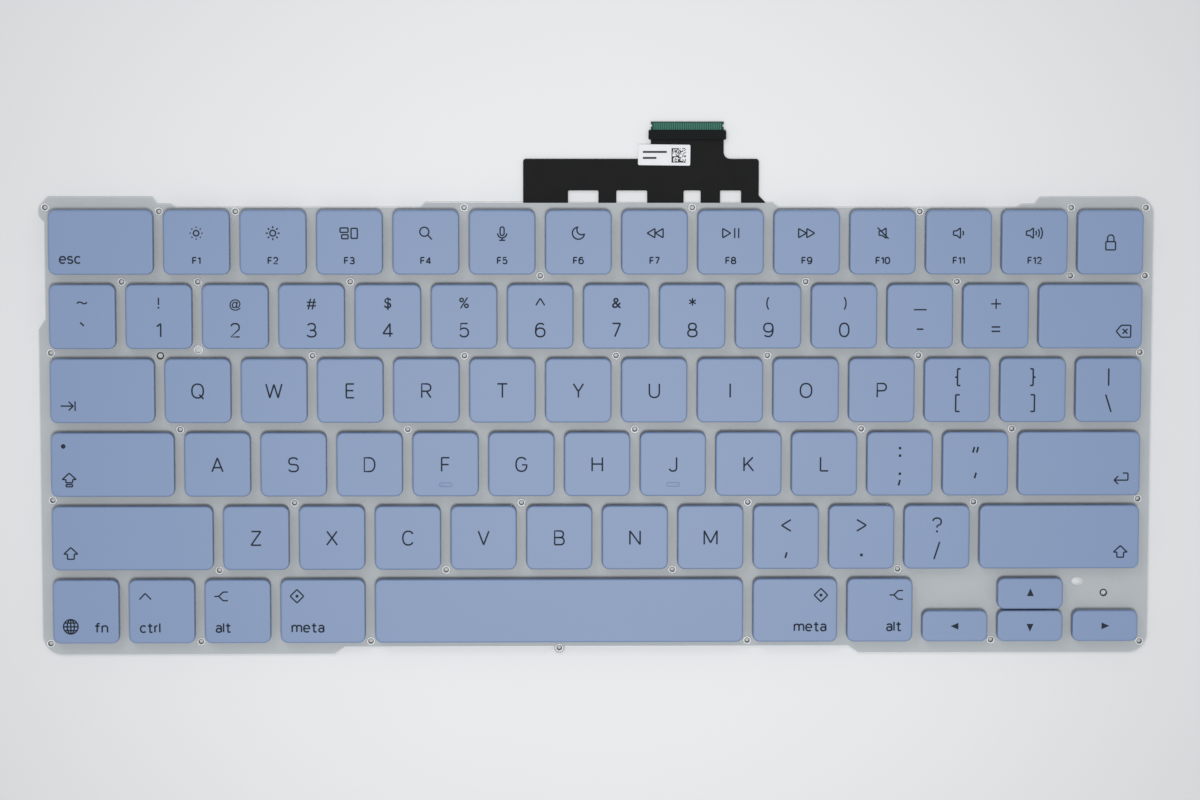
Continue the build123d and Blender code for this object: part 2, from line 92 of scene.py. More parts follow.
def surface(name, colour, roughness, metallic=0.0, mottle=0.05, mottle_size=12.0, grain=0.08,
            grain_size=0.25, bump=0.3, stretch=(1, 1, 1), specular=0.5):
    """A painted, moulded or metal finish with slow colour drift, fine grain and a slight relief."""
    made = bpy.data.materials.new(name)
    made.use_nodes = True
    tree = made.node_tree
    shader = tree.nodes["Principled BSDF"]
    shader.inputs["Metallic"].default_value = metallic
    shader.inputs["Specular IOR Level"].default_value = specular
    place = tree.nodes.new("ShaderNodeTexCoord")
    spread = tree.nodes.new("ShaderNodeMapping")
    spread.inputs["Scale"].default_value = stretch
    tree.links.new(place.outputs["Object"], spread.inputs["Vector"])
    drift = tree.nodes.new("ShaderNodeTexNoise")
    drift.inputs["Scale"].default_value = 1 / (mottle_size * mm)
    drift.inputs["Detail"].default_value = 5
    fine = tree.nodes.new("ShaderNodeTexNoise")
    fine.inputs["Scale"].default_value = 1 / (grain_size * mm)
    fine.inputs["Detail"].default_value = 3
    for noise in (drift, fine):
        tree.links.new(spread.outputs["Vector"], noise.inputs["Vector"])
    blend = tree.nodes.new("ShaderNodeMix")
    blend.data_type = "RGBA"
    tree.links.new(drift.outputs["Fac"], blend.inputs["Factor"])
    blend.inputs["A"].default_value = [c * (1 - mottle) for c in colour] + [1]
    blend.inputs["B"].default_value = [min(c * (1 + mottle), 1) for c in colour] + [1]
    tree.links.new(blend.outputs["Result"], shader.inputs["Base Color"])
    rough = tree.nodes.new("ShaderNodeMapRange")
    rough.inputs["To Min"].default_value = max(roughness - grain, 0.02)
    rough.inputs["To Max"].default_value = min(roughness + grain, 1)
    tree.links.new(fine.outputs["Fac"], rough.inputs["Value"])
    tree.links.new(rough.outputs["Result"], shader.inputs["Roughness"])
    relief = tree.nodes.new("ShaderNodeBump")
    relief.inputs["Strength"].default_value = bump
    relief.inputs["Distance"].default_value = 0.02 * mm
    tree.links.new(fine.outputs["Fac"], relief.inputs["Height"])
    tree.links.new(relief.outputs["Normal"], shader.inputs["Normal"])
    return made


cap_paint = surface("cap_paint", cap_blue, 0.42, mottle=0.02, mottle_size=30, grain=0.04,
                    grain_size=0.12, bump=0.1)
ink = surface("legend_ink", ink_slate, 0.65, mottle=0.1, mottle_size=1, grain_size=0.1, bump=0.1,
              specular=0.2)
plate_metal = surface("plate_metal", plate_grey, 0.42, metallic=0.35, stretch=(1, 0.1, 1))
film_print = surface("film_print", film_grey, 0.5, metallic=0.15, mottle_size=8)
collar_metal = surface("collar_metal", collar_silver, 0.38, metallic=0.5, mottle_size=0.8,
                       bump=0.05)
emboss_metal = surface("emboss_metal", emboss_silver, 0.5, metallic=0.2, mottle_size=1, bump=0.1)
thread_metal = surface("thread_metal", thread_grey, 0.5, mottle=0.2, mottle_size=0.3, specular=0.2)
moulded = surface("moulded_white", natural_white, 0.5, mottle_size=3)
silicone = surface("silicone", silicone_grey, 0.4, mottle_size=2, specular=0.4)
drawn_wire = surface("drawn_wire", wire_grey, 0.3, metallic=1.0, mottle_size=1)
tail_cover = surface("tail_cover", tail_black, 0.7, mottle=0.2, mottle_size=4, specular=0.15)
stiffener_cover = surface("stiffener_cover", stiffener_black, 0.6, mottle=0.2, mottle_size=2,
                          specular=0.12)
board_mask = surface("board_mask", board_green, 0.45, mottle=0.15, mottle_size=1.5, specular=0.15)
plated = surface("plated_contact", contact_green, 0.45, mottle_size=0.5, specular=0.15)
paper = surface("label_paper", label_white, 0.7, mottle_size=2, grain_size=0.15)
black_print = surface("black_print", hole_black, 0.6, mottle=0.2, mottle_size=0.5)


def make(name, verts, faces, body, material, slot=None, smooth=True):
    """A mesh piece in the frame's own place, riding on a body."""
    mesh = bpy.data.meshes.new(name)
    mesh.from_pydata(verts, [], faces)
    mesh.materials.append(material)
    mesh.validate()
    piece = bpy.data.objects.new(name, mesh)
    bpy.context.scene.collection.objects.link(piece)
    if smooth:
        mesh.shade_smooth()
    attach(piece, body)
    return piece


def ring(centre, width, depth, corner, z, steps=6):
    """Points once round a rounded rectangle, seen from above."""
    points = []
    for quarter, (side_x, side_y) in enumerate(((1, 1), (-1, 1), (-1, -1), (1, -1))):
        x = centre[0] + side_x * (width / 2 - corner)
        y = centre[1] + side_y * (depth / 2 - corner)
        for step in range(steps + 1):
            turn = (quarter + step / steps) * pi / 2
            points.append(Vector((x + corner * cos(turn), y + corner * sin(turn), z)))
    return points


def circle(centre, radius, z, steps=32):
    turns = [2 * pi * step / steps for step in range(steps)]
    return [
        Vector((centre[0] + radius * cos(t), centre[1] + radius * sin(t), z)) for t in turns
    ]


def loft(rings, closed=False):
    """Vertices and faces through rings of equal length. An open run has its ends filled."""
    count = len(rings[0])
    verts = [point for one in rings for point in one]
    faces = []
    for i in range(len(rings) if closed else len(rings) - 1):
        low = i * count
        high = (i + 1) % len(rings) * count
        for j in range(count):
            k = (j + 1) % count
            faces.append((low + j, low + k, high + k, high + j))
    if not closed:
        faces.append(tuple(reversed(range(count))))
        faces.append(tuple(range(len(verts) - count, len(verts))))
    return verts, faces


def joined(shapes):
    """Several vertex and face lists as one."""
    verts, faces = [], []
    for more_verts, more_faces in shapes:
        start = len(verts)
        verts += more_verts
        faces += [tuple(start + i for i in face) for face in more_faces]
    return verts, faces


# Where the keys are: the moving ones from the frame, the two back rows by the same spacing
class Key:
    def __init__(self, name, x, y, width, depth, body="root"):
        self.name, self.x, self.y = name, x, y
        self.width, self.depth, self.body = width, depth, body


keys = {}
for node in nodes:
    if node.startswith("key_"):
        low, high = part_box(node)
        name = node[len("key_"):]
        middle = (low + high) / 2
        size = high - low
        keys[name] = Key(name, middle.x, middle.y, size.x, size.y, f"cap_{name}")
top_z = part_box("key_q")[1].z
pitch = keys["w"].x - keys["q"].x
row_pitch = keys["q"].y - keys["a"].y
plain = keys["q"]
wide_width = keys["tab"].width
row_left = keys["tab"].x - wide_width / 2
upper_rows = (
    ("grave 1 2 3 4 5 6 7 8 9 0 minus equals delete", "delete"),
    ("esc f1 f2 f3 f4 f5 f6 f7 f8 f9 f10 f11 f12 lock", "esc"),
)
for rows_back, (names, wide_name) in enumerate(upper_rows, start=1):
    left = row_left
    for name in names.split():
        width = wide_width if name == wide_name else plain.width
        y = plain.y + rows_back * row_pitch
        keys[name] = Key(name, left + width / 2, y, width, plain.depth)
        left += width + pitch - plain.width
unsteadied = ("meta_left", "meta_right")
wide_keys = [
    key for key in keys.values() if key.width > 1.3 * plain.width and key.name not in unsteadied
]


def cap_rings(key):
    """A hollow cap from its ceiling, down inside, and up the outside to a softly rounded top."""
    corner_steps = 4
    levels = [
        (cap_wall, ceiling_z),
        (cap_wall, skirt_z + skirt_edge),
        (cap_wall - skirt_edge, skirt_z),
        (skirt_edge, skirt_z),
        (0.0, skirt_z + skirt_edge),
    ]
    for step in range(corner_steps + 1):
        turn = step / corner_steps * pi / 2
        levels.append((cap_lean + cap_edge * (1 - cos(turn)), top_z - cap_edge * (1 - sin(turn))))
    levels.append((cap_lean + 1.6 * cap_edge, top_z))
    rings = []
    for inset, z in levels:
        corner = max(cap_corner - inset, least_corner)
        rings.append(ring((key.x, key.y), key.width - 2 * inset, key.depth - 2 * inset, corner, z))
    return rings


def bar_rings(x, y):
    """A low homing bar with rounded ends and edges."""
    length, width, height = homing_bar
    rings = []
    for inset, z in ((0, 0), (0, 0.5), (0.1, 0.85), (0.3, 1)):
        narrow = width * (1 - inset)
        long = length - width * inset
        level = top_z - homing_bar_sunk + z * height
        rings.append(ring((x, y), long, narrow, narrow / 2 * 0.98, level, 4))
    return rings


for key in keys.values():
    shapes = [loft(cap_rings(key))]
    if key.name in ("f", "j"):
        bar_y = key.y - key.depth / 2 + homing_bar_from_edge
        shapes.append(loft(bar_rings(key.x, bar_y)))
    cap = make(f"keycap_{key.name}", *joined(shapes), key.body, cap_paint, "keycap")
    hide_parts("upper_row_keys" if key.body == "root" else f"key_{key.name}")

# Scissor frames: two crossed rings of flat bars for each key
frame_thickness = 0.6 * mm
frame_bar = 0.9 * mm
frame_reach = 4.9 * mm
low_axis_z = 1.05 * mm
high_axis_z = 2.8 * mm
axis_mid_z = (low_axis_z + high_axis_z) / 2
frame_lean = asin((high_axis_z - low_axis_z) / 2 / frame_reach)
outer_half_width = 5.6 * mm
narrow_bar = 0.55 * mm
narrow_half_width = 3.0 * mm
frame_side_gap = 0.2 * mm
frame_soft_edge = 0.1 * mm
frame_least_corner = 0.15 * mm


def scissor_frame(half_width, bar, lean, quarter_turn):
    """A ring of flat bars with softened edges, leaned about its middle."""
    soft = frame_soft_edge
    half = frame_thickness / 2
    length = 2 * frame_reach + frame_bar
    around = (
        (0, -half + soft), (0, half - soft), (soft, half), (bar - soft, half),
        (bar, half - soft), (bar, -half + soft), (bar - soft, -half), (soft, -half),
    )
    rings = []
    for inset, z in around:
        corner = max(bar - inset, frame_least_corner)
        rings.append(ring((0, 0), 2 * (half_width - inset), length - 2 * inset, corner, z, 3))
    place = Matrix.Translation((0, 0, axis_mid_z)) @ Matrix.Rotation(quarter_turn, 4, "Z")
    place = place @ Matrix.Rotation(lean, 4, "X")
    verts, faces = loft(rings, closed=True)
    return [place @ point for point in verts], faces


# Radius and height of a dome in millimetres, from its foot up
dome_profile = ((2.7, 0), (2.7, 0.12), (2.4, 0.17), (2.25, 0.5), (1.75, 1.5), (1.45, 2.1),
                (1.3, 2.28), (1.1, 2.35))
small_dome = 0.55


def moved(shape, x, y):
    verts, faces = shape
    return [point + Vector((x, y, 0)) for point in verts], faces


for key in keys.values():
    half_height = key.depth < 0.7 * plain.depth
    half_width = narrow_half_width if half_height else outer_half_width
    bar = narrow_bar if half_height else frame_bar
    turn = pi / 2 if half_height else 0
    dome_scale = small_dome if half_height else 1
    pair = joined((
        scissor_frame(half_width, bar, frame_lean, turn),
        scissor_frame(half_width - bar - frame_side_gap, bar, -frame_lean, turn),
    ))
    scissors = make(f"scissors_{key.name}", *moved(pair, key.x, key.y), "root", moulded,
                    "frame_plastic")
    rings = [
        circle((key.x, key.y), radius * dome_scale * mm, film_z + height * mm, 24)
        for radius, height in dome_profile
    ]
    dome = make(f"dome_{key.name}", *loft(rings), "root", silicone, "dome_rubber")
    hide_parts("rubber_domes")
    if key.body == "root":
        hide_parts("upper_row_keys")
        continue
    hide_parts("scissor_frames")
    for soft_piece in (scissors, dome):
        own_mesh(soft_piece)


# Strokes and letters: curves made into flat meshes
def rounded(points, radius, closed=False):
    """A path with each inner corner swapped for a short curve."""
    path = []
    count = len(points)
    for i, point in enumerate(points):
        corner = Vector(point)
        if not closed and i in (0, count - 1):
            path.append(corner)
            continue
        before = Vector(points[i - 1]) - corner
        after = Vector(points[(i + 1) % count]) - corner
        reach = min(radius, before.length / 2, after.length / 2)
        start = corner + before.normalized() * reach
        end = corner + after.normalized() * reach
        for step in range(5):
            t = step / 4
            path.append(start * (1 - t) ** 2 + corner * 2 * t * (1 - t) + end * t ** 2)
    return path


def tube(path, radius, closed=False, sides=2):
    """A temporary curve object with a round section."""
    curve = bpy.data.curves.new("stroke", "CURVE")
    curve.dimensions = "3D"
    curve.bevel_depth = radius
    curve.bevel_resolution = sides
    curve.use_fill_caps = True
    spline = curve.splines.new("POLY")
    spline.points.add(len(path) - 1)
    for point, place in zip(spline.points, path):
        point.co = (*place, 1)
    spline.use_cyclic_u = closed
    made = bpy.data.objects.new("stroke", curve)
    bpy.context.scene.collection.objects.link(made)
    return made


def as_mesh(parts, name, body, material):
    """One mesh piece from temporary curves and letters, which are then removed."""
    bpy.context.view_layer.update()
    graph = bpy.context.evaluated_depsgraph_get()
    whole = bmesh.new()
    for part in parts:
        mesh = bpy.data.meshes.new_from_object(part.evaluated_get(graph))
        mesh.transform(part.matrix_world)
        whole.from_mesh(mesh)
        bpy.data.meshes.remove(mesh)
        bpy.data.objects.remove(part)
    mesh = bpy.data.meshes.new(name)
    whole.to_mesh(mesh)
    whole.free()
    mesh.materials.clear()
    mesh.materials.append(material)
    piece = bpy.data.objects.new(name, mesh)
    bpy.context.scene.collection.objects.link(piece)
    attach(piece, body)
    return piece


# Wire stabilisers under the wide keys
wire_radius = 0.3 * mm
wire_from_cap_end = 2.4 * mm
wire_foot = 2.0 * mm
wire_front = 7.0 * mm
wire_back = 0.7 * mm
wire_bend = 0.8 * mm
for key in wide_keys:
    arm = key.width / 2 - wire_from_cap_end
    foot = arm - wire_foot
    route = (
        (-foot, -wire_back, low_axis_z), (-arm, -wire_back, low_axis_z),
        (-arm, -wire_front, high_axis_z), (arm, -wire_front, high_axis_z),
        (arm, -wire_back, low_axis_z), (foot, -wire_back, low_axis_z),
    )
    points = [(key.x + x, key.y + y, z) for x, y, z in route]
    wire = as_mesh([tube(rounded(points, wire_bend), wire_radius, sides=3)],
                   f"wire_{key.name}", "root", drawn_wire)
    wire.data.shade_smooth()
    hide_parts("stabiliser_bars")
    if key.body != "root":
        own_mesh(wire)

# Legends. Sizes are in millimetres from the middle of the cap
legend_z = top_z + 0.012 * mm
stroke_bend = 0.22 * mm
stroke_flatness = 0.08
letter_height = 3.87
digit_height = 3.73
small_height = 2.6
word_height = 2.65
fine_height = 1.9
letter_stroke = 0.4
word_stroke = 0.4
fine_stroke = 0.35
icon_stroke = 0.35


def arc(x, y, radius, start, end, steps=16):
    """Points on a round stretch, with its angles in degrees."""
    turns = [radians(start + (end - start) * step / steps) for step in range(steps + 1)]
    return [(x + radius * cos(t), y + radius * sin(t)) for t in turns]


def bow(x, y, reach, rise, start, end, steps=12, fullness=0.86):
    """Points on a slightly squared oval stretch, with its angles in degrees."""
    points = []
    for step in range(steps + 1):
        turn = radians(start + (end - start) * step / steps)
        across, up = cos(turn), sin(turn)
        points.append((
            x + reach * abs(across) ** fullness * (1 if across > 0 else -1),
            y + rise * abs(up) ** fullness * (1 if up > 0 else -1),
        ))
    return points


def line(*points):
    return ("line", points, False)


def outline(*points):
    return ("line", points, True)


def oval(x, y, reach, rise):
    return ("line", bow(x, y, reach, rise, 0, 360, 28)[:-1], True)


def loop(x, y, radius):
    return ("line", arc(x, y, radius, 0, 360, 24)[:-1], True)


def dot(x, y, radius):
    return ("dot", (x, y), radius)


# Letters and digits as strokes, one unit tall between the middles of their strokes
crook = line((-0.32, 0), (-0.32, 1), (0.04, 1), *bow(0.04, 0.735, 0.29, 0.265, 90, -90),
             (-0.32, 0.47))
strokes = {
    "A": [line((-0.39, 0), (0, 1), (0.39, 0)), line((-0.27, 0.3), (0.27, 0.3))],
    "B": [
        line((-0.33, 0), (-0.33, 1), (0.05, 1), *bow(0.05, 0.76, 0.25, 0.24, 90, -90),
             (-0.33, 0.52)),
        line((0, 0.52), *bow(0.07, 0.26, 0.28, 0.26, 90, -90), (-0.33, 0)),
    ],
    "C": [line(*bow(0.02, 0.5, 0.39, 0.5, 34, 326, 24))],
    "D": [outline((-0.37, 0), (-0.37, 1), (-0.05, 1), *bow(-0.05, 0.5, 0.43, 0.5, 90, -90, 16))],
    "E": [line((0.28, 1), (-0.28, 1), (-0.28, 0), (0.28, 0)), line((-0.28, 0.52), (0.23, 0.52))],
    "F": [line((0.29, 1), (-0.27, 1), (-0.27, 0)), line((-0.27, 0.5), (0.24, 0.5))],
    "G": [line(*bow(0, 0.5, 0.39, 0.5, 36, 352, 24), (0.385, 0.47), (0.05, 0.47))],
    "H": [
        line((-0.37, 0), (-0.37, 1)), line((0.37, 0), (0.37, 1)), line((-0.37, 0.52), (0.37, 0.52)),
    ],
    "I": [line((0, 0), (0, 1))],
    "J": [line((0.24, 1), *bow(-0.02, 0.26, 0.26, 0.26, 0, -165))],
    "K": [
        line((-0.33, 0), (-0.33, 1)),
        line((0.31, 1), (-0.33, 0.35)),
        line((-0.11, 0.57), (0.35, 0)),
    ],
    "L": [line((-0.27, 1), (-0.27, 0), (0.29, 0))],
    "M": [line((-0.46, 0), (-0.46, 1), (0, 0.12), (0.46, 1), (0.46, 0))],
    "N": [line((-0.37, 0), (-0.37, 1), (0.37, 0), (0.37, 1))],
    "O": [oval(0, 0.5, 0.41, 0.5)],
    "P": [crook],
    "Q": [oval(0, 0.5, 0.41, 0.5), line((0.12, 0.24), (0.42, -0.08))],
    "R": [crook, line((0.02, 0.47), (0.34, 0))],
    "S": [line(*bow(0, 0.745, 0.32, 0.255, 22, 238), *bow(0, 0.265, 0.35, 0.265, 58, -158))],
    "T": [line((-0.36, 1), (0.36, 1)), line((0, 0), (0, 1))],
    "U": [line((-0.36, 1), *bow(0, 0.37, 0.36, 0.37, 180, 360), (0.36, 1))],
    "V": [line((-0.38, 1), (0, 0), (0.38, 1))],
    "W": [line((-0.57, 1), (-0.3, 0), (0, 0.97), (0.3, 0), (0.57, 1))],
    "X": [line((-0.38, 0), (0.36, 1)), line((-0.36, 1), (0.38, 0))],
    "Y": [line((-0.36, 1), (0, 0.43), (0.36, 1)), line((0, 0.43), (0, 0))],
    "Z": [line((-0.33, 1), (0.34, 1), (-0.36, 0), (0.36, 0))],
    "0": [oval(0, 0.5, 0.345, 0.5)],
    "1": [line((-0.19, 0.78), (0.1, 1), (0.1, 0))],
    "2": [line(*bow(0, 0.71, 0.31, 0.29, 165, -30), (-0.32, 0), (0.33, 0))],
    "3": [
        line(*bow(0, 0.745, 0.29, 0.255, 155, -90), (-0.12, 0.49)),
        line((0, 0.49), *bow(0, 0.25, 0.34, 0.25, 90, -158)),
    ],
    "4": [line((0.16, 0), (0.16, 1), (-0.36, 0.24), (0.36, 0.24))],
    "5": [line((0.27, 1), (-0.22, 1), (-0.28, 0.5), *bow(0, 0.325, 0.33, 0.325, 130, -155))],
    "6": [oval(0, 0.325, 0.34, 0.325), line(*bow(0.02, 0.5, 0.36, 0.5, 48, 180), (-0.34, 0.33))],
    "7": [line((-0.3, 1), (0.3, 1), (-0.12, 0))],
    "8": [oval(0, 0.755, 0.28, 0.245), oval(0, 0.26, 0.34, 0.26)],
    "9": [oval(0, 0.675, 0.34, 0.325), line(*bow(-0.02, 0.5, 0.36, 0.5, 228, 360), (0.34, 0.67))],
    "a": [line(*bow(0, 0.5, 0.27, 0.24, 152, 0), (0.27, 0)), oval(0, 0.21, 0.27, 0.21)],
    "c": [line(*bow(0, 0.37, 0.32, 0.37, 44, 316))],
    "e": [line((-0.31, 0.38), (0.32, 0.38), *bow(0, 0.37, 0.32, 0.37, 4, 316, 20))],
    "f": [line((0.26, 1), (-0.02, 0.99), (-0.04, 0)), line((-0.26, 0.72), (0.24, 0.72))],
    "l": [line((0, 1), (0, 0))],
    "m": [
        line((-0.52, 0.74), (-0.52, 0)),
        line((-0.52, 0.5), *bow(-0.26, 0.5, 0.26, 0.24, 180, 0), (0, 0)),
        line((0, 0.5), *bow(0.26, 0.5, 0.26, 0.24, 180, 0), (0.52, 0)),
    ],
    "n": [
        line((-0.3, 0.74), (-0.3, 0)),
        line((-0.3, 0.48), *bow(0, 0.48, 0.3, 0.26, 180, 0), (0.3, 0)),
    ],
    "r": [
        line((-0.17, 0.74), (-0.17, 0)),
        line((-0.17, 0.46), *bow(0.13, 0.46, 0.3, 0.28, 180, 92)),
    ],
    "s": [line(*bow(0, 0.56, 0.25, 0.18, 22, 238), *bow(0, 0.19, 0.27, 0.19, 58, -158))],
    "t": [line((-0.05, 0.98), (-0.05, 0), (0.24, 0.01)), line((-0.28, 0.72), (0.22, 0.72))],
}


def up_arrow(top, wings, foot):
    return outline((0, top), (1.75, wings), (0.85, wings), (0.85, foot), (-0.85, foot),
                   (-0.85, wings), (-1.75, wings))


def rays(start, end):
    spokes = []
    for step in range(8):
        turn = step * pi / 4
        spokes.append(line(*((r * cos(turn), r * sin(turn)) for r in (start, end))))
    return spokes


def speaker(x, waves):
    body = outline((x, 0.55), (x + 0.75, 0.55), (x + 1.75, 1.3), (x + 1.75, -1.3),
                   (x + 0.75, -0.55), (x, -0.55))
    return [body] + [
        line(*arc(x + 1.55, 0, 0.95 + 0.75 * wave, -36, 36)) for wave in range(waves)
    ]


def triangle(x, size, point_to):
    return outline((x, size), (x + point_to * size * 1.7, 0), (x, -size))


def slanted(x, y):
    return line((x + 0.2, y + 0.72), (x - 0.2, y - 0.72))


# Signs as marks in millimetres, about the point that each is set at
icons = {
    "f1": [loop(0, 0, 0.68)] + [dot(*spot, 0.19) for spot in arc(0, 0, 1.47, 0, 315, 7)],
    "f2": [loop(0, 0, 0.72)] + rays(1.2, 1.75),
    "f3": [
        outline((-2.3, 1.3), (-0.3, 1.3), (-0.3, 0.2), (-2.3, 0.2)),
        outline((-1.9, -0.4), (-0.3, -0.4), (-0.3, -1.4), (-1.9, -1.4)),
        outline((0.45, 1.2), (2.0, 1.2), (2.0, -1.3), (0.45, -1.3)),
    ],
    "f4": [loop(-0.35, 0.35, 1.13), line((0.48, -0.48), (1.55, -1.6))],
    "f5": [
        ("line", arc(0, 1.05, 0.5, 0, 180, 8) + arc(0, -0.1, 0.5, 180, 360, 8), True),
        line(*arc(0, -0.05, 1.13, 180, 360)),
        line((0, -1.2), (0, -1.75)),
        line((-0.75, -1.78), (0.75, -1.78)),
    ],
    "f6": [("line", arc(0, 0, 1.52, 100, 350, 20) + arc(0.8, 0.8, 1.2, 300, 140, 14), True)],
    "f7": [triangle(2.1, 1.15, -1), triangle(0.05, 1.15, -1)],
    "f8": [
        triangle(-2.05, 1.17, 1),
        line((0.95, 1.25), (0.95, -1.25)),
        line((1.95, 1.25), (1.95, -1.25)),
    ],
    "f9": [triangle(-2.1, 1.15, 1), triangle(-0.05, 1.15, 1)],
    "f10": speaker(-1.0, 0) + [line((-1.4, 1.4), (1.4, -1.4))],
    "f11": speaker(-1.4, 1),
    "f12": speaker(-2.15, 3),
    "lock": [
        outline((-1.22, 0.1), (1.22, 0.1), (1.22, -1.95), (-1.22, -1.95)),
        ("line", [(-0.8, 0.1)] + arc(0, 1.0, 0.8, 180, 0, 12) + [(0.8, 0.1)], False),
    ],
    "delete": [
        outline((-1.85, 0), (-0.6, 1.5), (1.8, 1.5), (1.8, -1.5), (-0.6, -1.5)),
        line((-0.25, 0.62), (1.0, -0.62)),
        line((-0.25, -0.62), (1.0, 0.62)),
    ],
    "tab": [
        line((-1.8, 0), (1.35, 0)),
        line((0.2, 1.1), (1.35, 0), (0.2, -1.1)),
        line((1.8, 1.2), (1.8, -1.2)),
    ],
    "caps_lock": [
        up_arrow(1.72, 0.1, -0.7),
        outline((-0.8, -1.15), (0.8, -1.15), (0.8, -1.72), (-0.8, -1.72)),
    ],
    "shift_left": [up_arrow(1.5, -0.15, -1.45)],
    "return": [
        line((0.5, 1.35), (1.8, 1.35), (1.8, -0.45), (-1.6, -0.45)),
        line((-0.65, 0.6), (-1.7, -0.45), (-0.65, -1.45)),
    ],
    "globe": [
        loop(0, 0, 1.83),
        ("line", [(0.9 * x, 1.83 * y) for x, y in arc(0, 0, 1, 0, 360, 24)[:-1]], True),
        line((0, 1.83), (0, -1.83)),
        line((-1.83, 0), (1.83, 0)),
        line((-1.5, 0.95), (1.5, 0.95)),
        line((-1.5, -0.95), (1.5, -0.95)),
    ],
    "control": [line((-1.45, -0.75), (0, 0.8), (1.45, -0.75))],
    "alt": [
        line((-1.7, 0), (-0.6, 0), (0.5, 1.1), (1.7, 1.1)),
        line((-0.6, 0), (0.5, -1.1), (1.7, -1.1)),
    ],
    "meta": [outline((0, 1.7), (1.7, 0), (0, -1.7), (-1.7, 0)), dot(0, 0, 0.4)],
    "arrow": [("fill", ((-0.88, -0.9), (0.88, -0.9), (0, 1.1)), True)],
    "~": [line(*bow(-0.55, 3.35, 0.6, 0.35, 190, 10, 8), *bow(0.6, 3.65, 0.55, 0.35, 190, 370, 8))],
    "`": [line((-0.5, -1.4), (0.45, -2.25))],
    "!": [line((0, 4.8), (0, 2.95)), dot(0, 2.3, 0.25)],
    "^": [line((-1.1, 2.85), (0, 4.6), (1.1, 2.85))],
    "*": [line((0, 3.7), *arc(0, 3.7, 0.95, turn, turn, 1)[:1]) for turn in range(90, 450, 60)],
    "(": [line(*arc(2.45, 3.3, 2.85, 147, 213))],
    ")": [line(*arc(-2.45, 3.3, 2.85, 33, -33))],
    "_": [line((-1.6, 1.7), (1.6, 1.7))],
    "-": [line((-0.83, -3.2), (0.83, -3.2))],
    "+": [line((-1.25, 3.16), (1.25, 3.16)), line((0, 4.41), (0, 1.91))],
    "=": [line((-1.08, -2.65), (1.08, -2.65)), line((-1.08, -3.75), (1.08, -3.75))],
    "[": [line((0.6, -1.15), (-0.4, -1.15), (-0.4, -5.35), (0.6, -5.35))],
    "]": [line((-0.6, -1.15), (0.4, -1.15), (0.4, -5.35), (-0.6, -5.35))],
    "{": [line((0.75, 5.4), (0, 5.4), (0, 3.35), (-0.6, 3.3), (0, 3.25), (0, 1.2), (0.75, 1.2))],
    "}": [line((-0.75, 5.4), (0, 5.4), (0, 3.35), (0.6, 3.3), (0, 3.25), (0, 1.2), (-0.75, 1.2))],
    "|": [line((0, 5.5), (0, 1.1))],
    "\\": [line((-0.7, -1.1), (0.7, -5.5))],
    ":": [dot(0, 4.0, 0.36), dot(0, 2.1, 0.36)],
    ";": [dot(0, -2.5, 0.36), slanted(-0.12, -4.75)],
    '"': [slanted(-0.48, 3.56), slanted(0.48, 3.56)],
    "'": [slanted(0, -2.96)],
    "<": [line((1.2, 4.5), (-1.15, 3.05), (1.2, 1.6))],
    ">": [line((-1.2, 4.5), (1.15, 3.05), (-1.2, 1.6))],
    ",": [slanted(0, -4.5)],
    ".": [dot(0, -4.5, 0.4)],
    "?": [line(*bow(0, 3.9, 1.05, 0.95, 170, -42), (0.02, 2.85), (0, 2.4)), dot(0, 1.45, 0.28)],
    "/": [line((0.7, -1.2), (-0.7, -5.6))],
}
icons["shift_right"] = icons["shift_left"]


def drawn(marks, x, y, turn=0.0, scale=1.0, stroke=icon_stroke):
    """Temporary objects for some marks, about a point on the cap."""
    place = Matrix.Translation((x * mm, y * mm, 0)) @ Matrix.Rotation(turn, 4, "Z")
    parts = []
    for kind, where, extra in marks:
        if kind == "line":
            points = [Vector((px * mm, py * mm, 0)) * scale for px, py in where]
            path = rounded(points, stroke_bend, extra) if len(points) < 8 else points
            part = tube(path, stroke / 2 * mm, extra, sides=1)
            part.matrix_world = place @ Matrix.Diagonal((1, 1, stroke_flatness, 1))
        else:
            mesh = bpy.data.meshes.new("mark")
            if kind == "dot":
                where = arc(*where, extra, 0, 360, 16)[:-1]
            spots = [(px * mm * scale, py * mm * scale, 0) for px, py in where]
            mesh.from_pydata(spots, [], [tuple(range(len(spots)))])
            part = bpy.data.objects.new("mark", mesh)
            bpy.context.scene.collection.objects.link(part)
            part.matrix_world = place
        parts.append(part)
    return parts


def written(text, x, baseline, height, stroke, align="CENTER"):
    """Temporary objects for a word standing on a baseline, about a point on the cap."""
    unit = height - stroke
    gap = 0.07 * height + stroke
    spans = []
    for sign in text:
        across = [px for _, points, _ in strokes[sign] for px, _ in points]
        spans.append((min(across) * unit, max(across) * unit))
    width = sum(high - low for low, high in spans) + gap * (len(text) - 1)
    left = {"CENTER": x - width / 2, "LEFT": x + stroke / 2, "RIGHT": x - width - stroke / 2}[align]
    parts = []
    for sign, (low, high) in zip(text, spans):
        parts += drawn(strokes[sign], left - low, baseline + stroke / 2, 0, unit, stroke)
        left += high - low + gap
    return parts


letter_font = bpy.data.fonts.load("<builtin>")
font_capital_height = 0.7
at_sign_scale = 0.8


